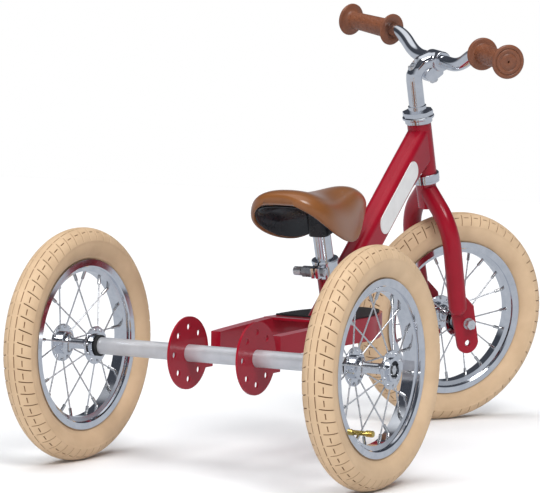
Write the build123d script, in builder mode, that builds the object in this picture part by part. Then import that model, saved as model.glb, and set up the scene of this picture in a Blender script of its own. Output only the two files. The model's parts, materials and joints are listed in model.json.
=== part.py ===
from build123d import *
import os
from math import cos, pi, radians, sin, sqrt

# Layout in millimetres: +X is forward, +Y is the rider's left, +Z is up.
# The origin is on the ground, midway between the rearmost and foremost points.
REAR_AXLE_X = -292.0
HALF_TRACK = 216.0
WHEEL_RADIUS = 150.0
HEAD_LEAN = 15.0
STEER_FOOT_X = REAR_AXLE_X + 627.6
STEER_REST = -29.8
RUNNING_GAP = 0.3

# Wheels: 47-203 balloon tyres on pressed steel rims with ten spokes to each flange.
TYRE_RADIUS = 21.5
RIM_EDGE_RADIUS = 109.5
RIM_BED_RADIUS = 94.0
RIM_HALF_WIDTH = 13.5
RIM_SHEET = 1.5
SPOKES_PER_FLANGE = 10
SPOKE_RADIUS = 1.0
SPOKE_PHASE = 9.0
VALVE_ANGLES = {"front": -126.0, "rear_left": 180.0, "rear_right": -126.0}
FLANGE_RADIUS = 24.25
FLANGE_HOLE_CIRCLE = 20.0
FLANGE_INNER = 24.0
FLANGE_OUTER = 27.0
HUB_HALF_LENGTH = 30.0
BEARING_INNER_FACE = 18.0
BEARING_OUTER_FACE = 24.0
BEARING_RADIUS = 11.0
AXLE_RADIUS = 5.0
AXLE_THREAD_RADIUS = 3.0

# Steering head, measured up the steering axis from the ground.
HEAD_BOTTOM = 368.0
HEAD_TOP = 441.0
HEAD_RADIUS = 16.75
HEAD_BORE = 14.0
CROWN_TOP = 355.0
STEERER_TOP = 465.4
STEERER_RADIUS = 12.7
QUILL_RADIUS = 11.1
FRONT_AXLE_AHEAD = 14.3
FRONT_AXLE_UP = 150.85
BLADE_RADIUS = 12.85
BLADE_WALL = 2.0
DROPOUT_INNER = 44.0
DROPOUT_PLATE = 4.0

# Frame tubes and the footboard.
TUBE_WALL = 2.0
DOWN_TUBE_DEPTH = 45.5
DOWN_TUBE_WIDTH = 30.5
DOWN_TUBE_CORNER = 10.5
DOWN_TUBE_RISE = 41.2
BOARD_TOP = 178.0
BOARD_SHEET = 3.0
RAIL_WIDTH = 14.0
RAIL_BOTTOM = 147.0
RAIL_REAR_X = REAR_AXLE_X + 57.0
BOARD_REAR_X = REAR_AXLE_X + 200.0
BOARD_TIP_X = REAR_AXLE_X + 372.0
DISC_RADIUS = 46.0
DISC_SHEET = 3.0
DISC_Y = 50.0
DISC_HOLE_CIRCLE = 33.0
DISC_HOLE_RADIUS = 4.25
DISC_HOLES = 8
AXLE_TUBE_RADIUS = 10.9

# Seat post and saddle.
POST_LEAN = 16.0
POST_RADIUS = 12.0
SEAT_TUBE_RADIUS = 13.5
SADDLE_TAIL_X = REAR_AXLE_X + 133.0
SADDLE_NOSE_X = REAR_AXLE_X + 357.0

# Handlebar.
BAR_RADIUS = 9.3
CLAMP_AHEAD = 40.2
CLAMP_UP = 521.4
GRIP_START = 114.0
GRIP_END = 203.4


def placed(base, local):
    """A plane given in another plane's coordinates, carried into space."""
    return Plane(base.location * local.location)


def point(base, x, y, z):
    """A point given in a plane's coordinates, carried into space."""
    return base.from_local_coords((x, y, z))


def profile_plane(base):
    """The plane whose sketch x runs along the base's x, and sketch y along its normal."""
    return Plane(base.origin, x_dir=base.x_dir, z_dir=-base.y_dir)


def turning_axis(base):
    """The line through a plane's origin along its normal."""
    return Axis(base.origin, base.z_dir)


def finish(piece, name):
    """Label a finished piece and write it as one file."""
    piece.part.label = name
    export_step(piece.part, f"parts/{name}.step")


lean = radians(HEAD_LEAN)
HEAD = Plane((STEER_FOOT_X, 0, 0), x_dir=(cos(lean), 0, sin(lean)), z_dir=(-sin(lean), 0, cos(lean)))
STEER = Plane(HEAD.location * Location((0, 0, 0), (0, 0, STEER_REST)))
FORK_SIDE = profile_plane(STEER)
FORK_FRONT = Plane(STEER.origin, x_dir=STEER.y_dir, z_dir=STEER.x_dir)
FRONT_WHEEL = Plane(
    point(STEER, FRONT_AXLE_AHEAD, 0, FRONT_AXLE_UP), x_dir=STEER.x_dir, z_dir=STEER.y_dir
)
LEFT_WHEEL = Plane((REAR_AXLE_X, HALF_TRACK, WHEEL_RADIUS), x_dir=(1, 0, 0), z_dir=(0, 1, 0))
RIGHT_WHEEL = Plane((REAR_AXLE_X, -HALF_TRACK, WHEEL_RADIUS), x_dir=(1, 0, 0), z_dir=(0, -1, 0))
REAR_AXLE = Plane((REAR_AXLE_X, 0, WHEEL_RADIUS), x_dir=(1, 0, 0), z_dir=(0, 1, 0))
WHEELS = {"front": FRONT_WHEEL, "rear_left": LEFT_WHEEL, "rear_right": RIGHT_WHEEL}


# Each wheel, drawn with its axle along the wheel plane's normal.
def make_tyre(wheel, name):
    """Balloon tyre: a round casing with its two beads turned into the rim."""
    centre = WHEEL_RADIUS - TYRE_RADIUS
    cavity = 18.5
    foot_radius = RIM_EDGE_RADIUS + RUNNING_GAP
    foot_half = sqrt(TYRE_RADIUS**2 - (centre - foot_radius) ** 2)
    bead_half = 11.8
    bead_toe = 8.4
    bead_radius = 101.7
    inside_radius = 112.0
    inside_half = sqrt(cavity**2 - (centre - inside_radius) ** 2)
    with BuildPart() as tyre:
        with BuildSketch(profile_plane(wheel)):
            with BuildLine():
                ThreePointArc((foot_radius, foot_half), (WHEEL_RADIUS, 0), (foot_radius, -foot_half))
                Polyline(
                    (foot_radius, -foot_half),
                    (foot_radius - 3, -bead_half),
                    (bead_radius, -bead_half),
                    (bead_radius, -bead_toe),
                    (inside_radius, -inside_half),
                )
                ThreePointArc(
                    (inside_radius, -inside_half),
                    (centre + cavity, 0),
                    (inside_radius, inside_half),
                )
                Polyline(
                    (inside_radius, inside_half),
                    (bead_radius, bead_toe),
                    (bead_radius, bead_half),
                    (foot_radius - 3, bead_half),
                    (foot_radius, foot_half),
                )
            make_face()
        revolve(axis=turning_axis(wheel))
    finish(tyre, f"{name}_tyre")


def make_inner_tube(wheel, name):
    """Rubber inner tube that fills the casing."""
    tube_radius = 17.8
    tube_wall = 1.2
    with BuildPart() as inner_tube:
        with BuildSketch(profile_plane(wheel)):
            with Locations((WHEEL_RADIUS - TYRE_RADIUS, 0)):
                Circle(tube_radius)
                Circle(tube_radius - tube_wall, mode=Mode.SUBTRACT)
        revolve(axis=turning_axis(wheel))
    finish(inner_tube, f"{name}_inner_tube")


def spoke_ends(index, side):
    """Where one spoke leaves its flange and where it meets the rim bed, in wheel coordinates."""
    step = 2 * pi / SPOKES_PER_FLANGE
    angle = step * (index + (0.5 if side > 0 else 0)) + radians(SPOKE_PHASE)
    rim_offset = 1.5 * side
    inside_flange = side * (FLANGE_INNER - SPOKE_RADIUS - 0.05)
    start = Vector(FLANGE_HOLE_CIRCLE * cos(angle), FLANGE_HOLE_CIRCLE * sin(angle), inside_flange)
    end = Vector(RIM_BED_RADIUS * cos(angle), RIM_BED_RADIUS * sin(angle), rim_offset)
    return start, end


def spoke_planes(wheel, from_rim):
    """One plane for each spoke, looking along it, a given way in from the rim bed."""
    planes = []
    for side in (1, -1):
        for index in range(SPOKES_PER_FLANGE):
            start, end = spoke_ends(index, side)
            along = (end - start).normalized()
            planes.append(placed(wheel, Plane(end - along * from_rim, z_dir=along)))
    return planes


def make_rim(wheel, name):
    """Drop-centre rim pressed from sheet, with a hole for each nipple and for the valve."""
    shelf = 101.3
    with BuildPart() as rim:
        with BuildSketch(profile_plane(wheel)):
            with BuildLine():
                half = [
                    (RIM_BED_RADIUS, 6.8),
                    (shelf - RIM_SHEET, 8.6),
                    (shelf - RIM_SHEET, RIM_HALF_WIDTH - 1.2),
                    (shelf, RIM_HALF_WIDTH),
                    (RIM_EDGE_RADIUS, RIM_HALF_WIDTH),
                    (RIM_EDGE_RADIUS, RIM_HALF_WIDTH - RIM_SHEET),
                    (shelf, RIM_HALF_WIDTH - RIM_SHEET),
                    (shelf, 7.6),
                    (RIM_BED_RADIUS + RIM_SHEET, 5.6),
                ]
                Polyline(*half, *[(r, -a) for r, a in reversed(half)], close=True)
            make_face()
        revolve(axis=turning_axis(wheel))
        with Locations(*spoke_planes(wheel, 0)):
            Cylinder(2.3, 12, mode=Mode.SUBTRACT)
        with Locations(valve_plane(wheel, name)):
            Cylinder(4.4, 12, mode=Mode.SUBTRACT)
    finish(rim, f"{name}_rim")


def make_spokes(wheel, name):
    """Straight-laced spokes, each bent through its flange with the head on the outer face."""
    head_radius = 1.9
    runs = []
    elbows = []
    heads = []
    nipple_depth = 2.0
    for side in (1, -1):
        for index in range(SPOKES_PER_FLANGE):
            start, end = spoke_ends(index, side)
            along = (end - start).normalized()
            outward = Vector(0, 0, side)
            runs.append(placed(wheel, Plane(start, z_dir=along)))
            elbows.append(placed(wheel, Plane(start, z_dir=outward)))
            seat = Plane((start.X, start.Y, side * (FLANGE_OUTER + 0.1)), z_dir=outward)
            heads.append(placed(wheel, seat))
    first, last = spoke_ends(0, 1)
    run_length = (last - first).length - nipple_depth
    elbow_length = FLANGE_OUTER + 0.2 - first.Z
    upright = (Align.CENTER, Align.CENTER, Align.MIN)
    with BuildPart() as spokes:
        with Locations(*runs):
            Cylinder(SPOKE_RADIUS, run_length, align=upright)
        with Locations(*elbows):
            Cylinder(SPOKE_RADIUS, elbow_length, align=upright)
            Sphere(SPOKE_RADIUS)
        with Locations(*heads):
            Cylinder(head_radius, 0.9, align=upright)
    finish(spokes, f"{name}_spokes")


def make_nipples(wheel, name):
    """A brass-cored nipple on each spoke, its head inside the rim's well."""
    shank_radius = 2.1
    head_radius = 3.0
    shank_length = 11.0
    upright = (Align.CENTER, Align.CENTER, Align.MIN)
    head_at = RIM_SHEET + 1.1
    with BuildPart() as nipples:
        with Locations(*spoke_planes(wheel, shank_length)):
            Cylinder(shank_radius, shank_length + head_at, align=upright)
        with Locations(*spoke_planes(wheel, -head_at)):
            Cylinder(head_radius, 1.6, align=upright)
        with Locations(*spoke_planes(wheel, shank_length)):
            Cylinder(SPOKE_RADIUS + 0.03, shank_length - 1.9, align=upright, mode=Mode.SUBTRACT)
    finish(nipples, f"{name}_nipples")


def valve_plane(wheel, name):
    """The plane on the rim bed, midway between two spokes, looking outward from the hub."""
    angle = radians(VALVE_ANGLES[name])
    out = Vector(cos(angle), sin(angle), 0)
    return placed(wheel, Plane(out * RIM_BED_RADIUS, z_dir=out))


def make_valve(wheel, name):
    """Bent valve: a foot through the rim bed, then a stem and cap turned square to the side."""
    seat = valve_plane(wheel, name)
    bend_depth = 5.0
    tube_gap = 16.6
    foot_radius = 3.9
    stem_radius = 3.0
    stem_length = 21.5
    cap_radius = 4.0
    cap_length = 9.5
    turn = Plane(seat.offset(-bend_depth).origin, z_dir=wheel.z_dir)
    with BuildPart() as valve:
        with BuildSketch(seat.offset(-bend_depth)):
            Circle(foot_radius)
        extrude(amount=bend_depth + tube_gap)
        with Locations(turn):
            Sphere(foot_radius)
        with BuildSketch(turn):
            Circle(stem_radius)
        extrude(amount=stem_length)
        with BuildSketch(turn.offset(stem_length)):
            Circle(cap_radius)
        extrude(amount=cap_length)
        chamfer(valve.faces().sort_by(Axis(turn.origin, turn.z_dir))[-1].edges(), 0.8)
    finish(valve, f"{name}_valve")


def make_hub(wheel, name):
    """Spool hub: two drilled flanges on a barrel that swells at both ends."""
    barrel_radius = 6.6
    barrel_bore = AXLE_RADIUS + 0.4
    flare_start = 9.0
    flare_radius = 14.6
    boss_radius = 15.0
    with BuildPart() as hub:
        with BuildSketch(profile_plane(wheel)):
            with BuildLine():
                for side in (1, -1):
                    TangentArc(
                        (barrel_radius, side * flare_start),
                        (flare_radius, side * BEARING_INNER_FACE),
                        tangent=(0, side),
                    )
                    Polyline(
                        (flare_radius, side * BEARING_INNER_FACE),
                        (flare_radius, side * FLANGE_INNER),
                        (FLANGE_RADIUS, side * FLANGE_INNER),
                        (FLANGE_RADIUS, side * FLANGE_OUTER),
                        (boss_radius, side * FLANGE_OUTER),
                        (boss_radius, side * HUB_HALF_LENGTH),
                        (BEARING_RADIUS, side * HUB_HALF_LENGTH),
                        (BEARING_RADIUS, side * BEARING_INNER_FACE),
                        (barrel_bore, side * BEARING_INNER_FACE),
                    )
                Line((barrel_radius, -flare_start), (barrel_radius, flare_start))
                Line((barrel_bore, -BEARING_INNER_FACE), (barrel_bore, BEARING_INNER_FACE))
            make_face()
        revolve(axis=turning_axis(wheel))
        rounds = hub.edges().filter_by(GeomType.CIRCLE)
        fillet(rounds.filter_by(lambda edge: abs(edge.radius - FLANGE_RADIUS) < 0.01), 0.8)
        holes = []
        for side in (1, -1):
            for index in range(SPOKES_PER_FLANGE):
                start, end = spoke_ends(index, side)
                middle = side * (FLANGE_INNER + FLANGE_OUTER) / 2
                holes.append(placed(wheel, Plane((start.X, start.Y, middle))))
        with Locations(*holes):
            Cylinder(SPOKE_RADIUS + 0.3, 6, mode=Mode.SUBTRACT)
    finish(hub, f"{name}_hub")


def make_bearings(wheel, name):
    """A sealed ball bearing in each end of the hub, turning on the axle."""
    bore = AXLE_RADIUS + 0.05
    seal_dish = 0.4
    with BuildPart() as bearings:
        for side in (1, -1):
            with BuildSketch(profile_plane(wheel)):
                middle = side * (BEARING_INNER_FACE + BEARING_OUTER_FACE) / 2
                width = BEARING_OUTER_FACE - BEARING_INNER_FACE
                with Locations(((bore + BEARING_RADIUS) / 2, middle)):
                    Rectangle(BEARING_RADIUS - bore, width)
                with Locations(((bore + BEARING_RADIUS) / 2, middle + side * width / 2)):
                    Rectangle(3.0, 2 * seal_dish, mode=Mode.SUBTRACT)
            revolve(axis=turning_axis(wheel))
    finish(bearings, f"{name}_bearings")


def ring(base, inner, outer, low, high):
    """A flat ring about the base plane's normal, between two heights."""
    with BuildPart() as body:
        with BuildSketch(base.offset(low)):
            Circle(outer)
            Circle(inner, mode=Mode.SUBTRACT)
        extrude(amount=high - low)
    return body


def make_hex_bolts(seats, across_flats, head, shank_radius, shank, washer):
    """Hexagon bolts with washers; each seat plane looks out from the clamped face."""
    corner = across_flats / sqrt(3)
    with BuildPart() as bolts:
        for seat in seats:
            with BuildSketch(seat):
                Circle(across_flats * 0.62)
            extrude(amount=washer)
            with BuildSketch(seat.offset(washer)):
                RegularPolygon(corner, 6)
            extrude(amount=head)
            with BuildSketch(seat):
                Circle(shank_radius)
            extrude(amount=-shank)
    return bolts


def make_wheel(wheel, name):
    """Everything that turns with one wheel."""
    make_tyre(wheel, name)
    make_inner_tube(wheel, name)
    make_rim(wheel, name)
    make_spokes(wheel, name)
    make_nipples(wheel, name)
    make_valve(wheel, name)
    make_hub(wheel, name)
    make_bearings(wheel, name)


# The frame: welded tubes, the rear axle and the steering head.
def down_tube_plane():
    """Origin where the down tube's middle crosses the steering axis; normal up the tube."""
    rise = radians(DOWN_TUBE_RISE)
    meet_up = 417.0
    start = point(HEAD, 0, 0, meet_up)
    return Plane(start, x_dir=(sin(rise), 0, -cos(rise)), z_dir=(cos(rise), 0, sin(rise)))


def seat_plane():
    """Origin where the seat tube's middle crosses the board's top; normal up the tube."""
    slope = radians(POST_LEAN)
    seat_foot_x = REAR_AXLE_X + 277.7
    foot = (seat_foot_x, 0, BOARD_TOP)
    return Plane(foot, x_dir=(cos(slope), 0, sin(slope)), z_dir=(-sin(slope), 0, cos(slope)))


def make_head_tube():
    """Plain steering head tube."""
    head_tube = ring(HEAD, HEAD_BORE, HEAD_RADIUS, HEAD_BOTTOM, HEAD_TOP)
    finish(head_tube, "head_tube")


def tube_body(grow):
    """The down tube's solid shape, grown or shrunk all round, a little deeper at the head tube."""
    tube = down_tube_plane()
    depth = DOWN_TUBE_DEPTH + 2 * grow
    width = DOWN_TUBE_WIDTH + 2 * grow
    corner = DOWN_TUBE_CORNER + grow
    flare_length = 78.0
    flare_depth = 58.0 + 2 * grow
    flare_shift = 5.0
    foot_length = 420.0
    head_cut = Plane(tube.origin, x_dir=-HEAD.z_dir, z_dir=HEAD.x_dir)
    with BuildPart() as body:
        with BuildSketch(tube.offset(-foot_length)):
            RectangleRounded(depth, width, corner)
        extrude(amount=foot_length - flare_length)
        with BuildSketch(tube.offset(-flare_length)):
            RectangleRounded(depth, width, corner)
        with BuildSketch(head_cut):
            with Locations((flare_shift, 0)):
                RectangleRounded(flare_depth, width, corner)
        loft()
    return body


def make_down_tube():
    """Down tube with flat sides and round corners, from the board up to the head tube."""
    seat = seat_plane()
    with BuildPart() as down_tube:
        add(tube_body(0).part)
        add(tube_body(-TUBE_WALL).part, mode=Mode.SUBTRACT)
        with BuildSketch(HEAD):
            Circle(HEAD_RADIUS)
        extrude(amount=2 * HEAD_TOP, mode=Mode.SUBTRACT)
        with BuildSketch(seat.offset(-60)):
            Circle(SEAT_TUBE_RADIUS)
        extrude(amount=160, mode=Mode.SUBTRACT)
        split(bisect_by=Plane.XY.offset(BOARD_TOP), keep=Keep.TOP)
    finish(down_tube, "down_tube")


def make_seat_tube():
    """Seat tube, through the board and down to the rail's lower edge."""
    seat = seat_plane()
    tube_top = 72.0
    with BuildPart() as seat_tube:
        with BuildSketch(seat.offset(-60)):
            Circle(SEAT_TUBE_RADIUS)
            Circle(POST_RADIUS + 0.05, mode=Mode.SUBTRACT)
        extrude(amount=60 + tube_top)
        split(bisect_by=Plane.XY.offset(RAIL_BOTTOM + 2), keep=Keep.TOP)
        with Locations(placed(seat, Plane((-SEAT_TUBE_RADIUS, 0, tube_top - 10)))):
            Box(8, 2.5, 22, mode=Mode.SUBTRACT)
    finish(seat_tube, "seat_tube")


def board_sketch(plane, inset, rear_x):
    """Plan of the footboard and rail: sides that widen from the axle, then a round tip."""
    rear_half = 51.5 - inset
    half = 60.0 - inset
    side_end_x = REAR_AXLE_X + 262.0
    shoulder = (REAR_AXLE_X + 338.0 - 0.5 * inset, 41.5 - 0.86 * inset)
    tip = (BOARD_TIP_X - inset, 0)
    with BuildSketch(plane) as outline:
        with BuildLine():
            for side in (1, -1):
                Spline(
                    (RAIL_REAR_X, side * rear_half),
                    (side_end_x, side * half),
                    tangents=((1, side * 0.09), (1, 0)),
                )
                Spline(
                    (side_end_x, side * half),
                    (shoulder[0], side * shoulder[1]),
                    tip,
                    tangents=((1, 0), (0, -side)),
                )
            Line((RAIL_REAR_X, rear_half), (RAIL_REAR_X, -rear_half))
        make_face()
        if rear_x > RAIL_REAR_X:
            split(bisect_by=Plane((rear_x, 0, 0), z_dir=(1, 0, 0)), keep=Keep.TOP)
    return outline


def rail_loop(outer_inset, inner_inset, low, high, rear_x):
    """The loop between two insets of the board's plan, starting so far forward."""
    with BuildPart() as loop:
        add(board_sketch(Plane.XY.offset(low), outer_inset, rear_x).sketch)
        extrude(amount=high - low)
        add(board_sketch(Plane.XY.offset(low), inner_inset, rear_x).sketch)
        extrude(amount=high - low, mode=Mode.SUBTRACT)
    return loop


def make_base_rail():
    """Box-section rail bent into a loop under the footboard."""
    rear_top = 172.4
    board_top = 177.6
    seat_top = BOARD_TOP - BOARD_SHEET
    hollow = rail_loop(
        TUBE_WALL,
        RAIL_WIDTH - TUBE_WALL,
        RAIL_BOTTOM + TUBE_WALL,
        rear_top - TUBE_WALL,
        RAIL_REAR_X + TUBE_WALL,
    )
    with BuildPart() as base_rail:
        add(rail_loop(0, RAIL_WIDTH, RAIL_BOTTOM, BOARD_TOP, RAIL_REAR_X).part)
        with BuildSketch(Plane.XZ):
            with BuildLine():
                Polyline(
                    (RAIL_REAR_X, RAIL_BOTTOM),
                    (RAIL_REAR_X, rear_top),
                    (BOARD_REAR_X, board_top),
                    (BOARD_REAR_X, seat_top),
                    (BOARD_TIP_X + 1, seat_top),
                    (BOARD_TIP_X + 1, RAIL_BOTTOM),
                    close=True,
                )
            make_face()
        extrude(amount=100, both=True, mode=Mode.INTERSECT)
        add(hollow.part, mode=Mode.SUBTRACT)
    finish(base_rail, "base_rail")


def disc_plane(side):
    """The inner face of one disc, upright, looking out along the axle."""
    inner_face = side * (DISC_Y - DISC_SHEET / 2)
    return Plane((REAR_AXLE_X, inner_face, WHEEL_RADIUS), x_dir=(side, 0, 0), z_dir=(0, side, 0))


def make_rear_dropouts():
    """A short plate on each side that carries the disc's edge on to the rail's closed end."""
    plate_middle = 163.0
    plate_height = 19.0
    reach = RAIL_REAR_X - REAR_AXLE_X
    with BuildPart() as rear_dropouts:
        for side in (1, -1):
            with BuildSketch(disc_plane(side)):
                with Locations((side * reach / 2, plate_middle - WHEEL_RADIUS)):
                    Rectangle(reach, plate_height)
                Circle(DISC_RADIUS, mode=Mode.SUBTRACT)
            extrude(amount=DISC_SHEET)
    finish(rear_dropouts, "rear_dropouts")


def make_axle_disc(side, name):
    """Drilled round flange on the axle tube."""
    with BuildPart() as disc:
        with BuildSketch(disc_plane(side)):
            Circle(DISC_RADIUS)
            Circle(AXLE_TUBE_RADIUS, mode=Mode.SUBTRACT)
            with PolarLocations(DISC_HOLE_CIRCLE, DISC_HOLES):
                Circle(DISC_HOLE_RADIUS, mode=Mode.SUBTRACT)
        extrude(amount=DISC_SHEET)
    finish(disc, name)


def make_rear_axle():
    """Axle tube between the hubs, the solid axle inside it and the bolts at its ends."""
    tube_end = HALF_TRACK - BEARING_OUTER_FACE - 0.4
    tube = ring(REAR_AXLE, AXLE_RADIUS + 0.02, AXLE_TUBE_RADIUS, -tube_end, tube_end)
    finish(tube, "rear_axle_tube")
    rod_end = HALF_TRACK + BEARING_OUTER_FACE + 0.4
    thread_depth = 20.0
    with BuildPart() as rod:
        with BuildSketch(REAR_AXLE.offset(-rod_end)):
            Circle(AXLE_RADIUS)
        extrude(amount=2 * rod_end)
        for side in (1, -1):
            with BuildSketch(REAR_AXLE.offset(side * rod_end)):
                Circle(AXLE_THREAD_RADIUS)
            extrude(amount=-side * thread_depth, mode=Mode.SUBTRACT)
    finish(rod, "rear_axle_rod")
    seats = [
        Plane((REAR_AXLE_X, side * rod_end, WHEEL_RADIUS), x_dir=(1, 0, 0), z_dir=(0, side, 0))
        for side in (1, -1)
    ]
    head = 4.2
    washer = 1.0
    shank = thread_depth - 2
    bolts = make_hex_bolts(seats, 10, head, AXLE_THREAD_RADIUS - 0.05, shank, washer)
    finish(bolts, "rear_axle_bolts")


def make_footboard():
    """Steel footboard plate on top of the rail."""
    seat = seat_plane()
    with BuildPart() as footboard:
        add(board_sketch(Plane.XY.offset(BOARD_TOP - BOARD_SHEET), 0, BOARD_REAR_X).sketch)
        extrude(amount=BOARD_SHEET)
        with BuildSketch(seat.offset(-30)):
            Circle(SEAT_TUBE_RADIUS + 0.02)
        extrude(amount=60, mode=Mode.SUBTRACT)
    finish(footboard, "footboard")


def make_footboard_grip():
    """Black grip pad laid on the board, cut out around the down tube."""
    grip_inset = 4.0
    grip_sheet = 2.2
    with BuildPart() as footboard_grip:
        add(board_sketch(Plane.XY.offset(BOARD_TOP), grip_inset, REAR_AXLE_X + 225).sketch)
        extrude(amount=grip_sheet)
        add(tube_body(1.5).part, mode=Mode.SUBTRACT)
    finish(footboard_grip, "footboard_grip")


def make_badge():
    """Plain long round-ended plate on the down tube's right side."""
    badge_length = 130.0
    badge_width = 28.0
    below_head = 117.0
    towards_top = 1.0
    badge_sheet = 1.0
    tube = down_tube_plane()
    centre = point(tube, -towards_top, -DOWN_TUBE_WIDTH / 2, -below_head)
    face = Plane(centre, x_dir=tube.z_dir, z_dir=(0, -1, 0))
    with BuildPart() as badge:
        with BuildSketch(face):
            SlotOverall(badge_length, badge_width)
        extrude(amount=badge_sheet)
    finish(badge, "badge")


def revolved(base, outline):
    """A solid of revolution about the base's normal from (radius, height) corners."""
    with BuildPart() as body:
        with BuildSketch(profile_plane(base)):
            with BuildLine():
                Polyline(*outline, close=True)
            make_face()
        revolve(axis=turning_axis(base))
    return body


def make_headset():
    """Cups and ball rings in the head tube, races and lock nut on the steerer."""
    sleeve = 13.1
    cage = 13.9
    lower_cavity = 17.3
    upper_cavity = 16.5
    lower_lip = 358.5
    upper_lip = 447.0
    with BuildPart() as cups:
        add(revolved(HEAD, [
            (sleeve, HEAD_BOTTOM + 8),
            (HEAD_BORE, HEAD_BOTTOM + 8),
            (HEAD_BORE, HEAD_BOTTOM),
            (19, HEAD_BOTTOM),
            (20, HEAD_BOTTOM - 1),
            (20, lower_lip),
            (lower_cavity, lower_lip),
            (lower_cavity, lower_lip + 5.5),
            (sleeve, lower_lip + 5.5),
        ]).part)
        add(revolved(HEAD, [
            (sleeve, HEAD_TOP - 8),
            (HEAD_BORE, HEAD_TOP - 8),
            (HEAD_BORE, HEAD_TOP),
            (18, HEAD_TOP),
            (19, HEAD_TOP + 1),
            (19, upper_lip),
            (upper_cavity, upper_lip),
            (upper_cavity, upper_lip - 3.5),
            (sleeve, upper_lip - 3.5),
        ]).part)
    finish(cups, "headset_cups")
    with BuildPart() as ball_rings:
        add(ring(HEAD, cage, lower_cavity, lower_lip + 0.4, lower_lip + 5.5).part)
        add(ring(HEAD, cage, upper_cavity, upper_lip - 3.5, upper_lip - 0.2).part)
    finish(ball_rings, "headset_bearings")
    crown_race = ring(STEER, STEERER_RADIUS, 19.5, CROWN_TOP, lower_lip - 0.4)
    finish(crown_race, "crown_race")
    with BuildPart() as nuts:
        add(revolved(STEER, [
            (STEERER_RADIUS, upper_lip + RUNNING_GAP),
            (21.2, upper_lip + RUNNING_GAP),
            (22.2, upper_lip + 1.3),
            (22.2, upper_lip + 3.6),
            (21.2, upper_lip + 4.6),
            (STEERER_RADIUS, upper_lip + 4.6),
        ]).part)
        with BuildSketch(STEER.offset(upper_lip + 4.9)):
            RegularPolygon(21.8, 8)
            Circle(STEERER_RADIUS, mode=Mode.SUBTRACT)
        extrude(amount=6.1)
    finish(nuts, "headset_nuts")


# The fork.
CROWN_FOOT = 318.0
CROWN_RADIUS = 14.2
STEERER_PLUG = 345.0


def make_fork_steerer():
    """Steerer tube on the thick crown boss that the blades grow out of."""
    drain_radius = 3.0
    steerer = revolved(STEER, [
        (QUILL_RADIUS + 0.05, STEERER_PLUG),
        (QUILL_RADIUS + 0.05, STEERER_TOP),
        (STEERER_RADIUS, STEERER_TOP),
        (STEERER_RADIUS, CROWN_TOP),
        (CROWN_RADIUS, CROWN_TOP),
        (CROWN_RADIUS, CROWN_FOOT + 1),
        (CROWN_RADIUS - 1, CROWN_FOOT),
        (drain_radius, CROWN_FOOT),
        (drain_radius, STEERER_PLUG),
    ])
    finish(steerer, "fork_steerer")


def make_fork_blades():
    """Two tubes that leave the crown sideways, bend down and end in flat dropouts."""
    top = (0, 347.0)
    knee = (-52.8, 297.7)
    foot = (-48.5, 180.0)
    knee_radius = 76.0
    boss_reach = 80.0
    plate_face = -DROPOUT_INNER - DROPOUT_PLATE
    middle = Plane(STEER.origin, z_dir=STEER.y_dir)
    with BuildPart() as blade:
        with BuildLine(FORK_FRONT) as path:
            FilletPolyline(top, knee, foot, radius=knee_radius)
        with BuildSketch(Plane(path.line @ 0, z_dir=path.line % 0)):
            Circle(BLADE_RADIUS)
            Circle(BLADE_RADIUS - BLADE_WALL, mode=Mode.SUBTRACT)
        sweep()
        with Locations(placed(FORK_FRONT, Plane((foot[0], foot[1], 0)))):
            Sphere(BLADE_RADIUS)
        with BuildSketch(STEER.offset(CROWN_FOOT)):
            Circle(CROWN_RADIUS)
        extrude(amount=boss_reach, mode=Mode.SUBTRACT)
        split(bisect_by=middle, keep=Keep.BOTTOM)
        with BuildSketch(placed(STEER, Plane((0, plate_face, 0), x_dir=(1, 0, 0), z_dir=(0, 1, 0)))):
            with BuildLine():
                Polyline(
                    (-6, -122),
                    (-7, -140),
                    (-9, -166),
                    (-9, -194),
                    (13, -194),
                    (26.7, -174),
                    (27.7, -120),
                )
                ThreePointArc((27.7, -120), (10.5, -107.7), (-6, -122))
            make_face()
            with Locations((FRONT_AXLE_AHEAD, -FRONT_AXLE_UP)):
                Circle(AXLE_RADIUS, mode=Mode.SUBTRACT)
            with Locations((10.2, -122.5)):
                Circle(4.5, mode=Mode.SUBTRACT)
        extrude(amount=DROPOUT_PLATE)
    finish(blade, "fork_right_blade")
    with BuildPart() as left_blade:
        mirror(blade.part, about=middle)
    finish(left_blade, "fork_left_blade")


def make_front_axle():
    """Front axle, its end bolts and the capped spacers beside the hub."""
    outer_face = DROPOUT_INNER + DROPOUT_PLATE
    thread_depth = 14.0
    with BuildPart() as axle:
        with BuildSketch(FRONT_WHEEL.offset(-outer_face)):
            Circle(AXLE_RADIUS)
        extrude(amount=2 * outer_face)
        for side in (1, -1):
            with BuildSketch(FRONT_WHEEL.offset(side * outer_face)):
                Circle(AXLE_THREAD_RADIUS)
            extrude(amount=-side * thread_depth, mode=Mode.SUBTRACT)
    finish(axle, "front_axle")
    seats = [placed(FRONT_WHEEL, Plane((0, 0, side * outer_face), z_dir=(0, 0, side))) for side in (1, -1)]
    head = 8.0
    washer = 1.6
    shank = thread_depth - 2
    bolts = make_hex_bolts(seats, 13, head, AXLE_THREAD_RADIUS - 0.05, shank, washer)
    finish(bolts, "front_axle_bolts")
    cap_start = HUB_HALF_LENGTH + 0.4
    cap_radius = 16.5
    neck_radius = BEARING_RADIUS - 0.8
    neck_start = BEARING_OUTER_FACE + 0.4
    with BuildPart() as spacers:
        for side in (1, -1):
            add(revolved(FRONT_WHEEL, [
                (AXLE_RADIUS, side * neck_start),
                (neck_radius, side * neck_start),
                (neck_radius, side * cap_start),
                (cap_radius, side * cap_start),
                (cap_radius, side * (cap_start + 3)),
                (12, side * (cap_start + 6)),
                (10, side * DROPOUT_INNER),
                (AXLE_RADIUS, side * DROPOUT_INNER),
            ]).part)
    finish(spacers, "front_axle_spacers")


# The stem and handlebar.
QUILL_FOOT = 395.0
WEDGE_SLANT = 30.0


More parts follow.
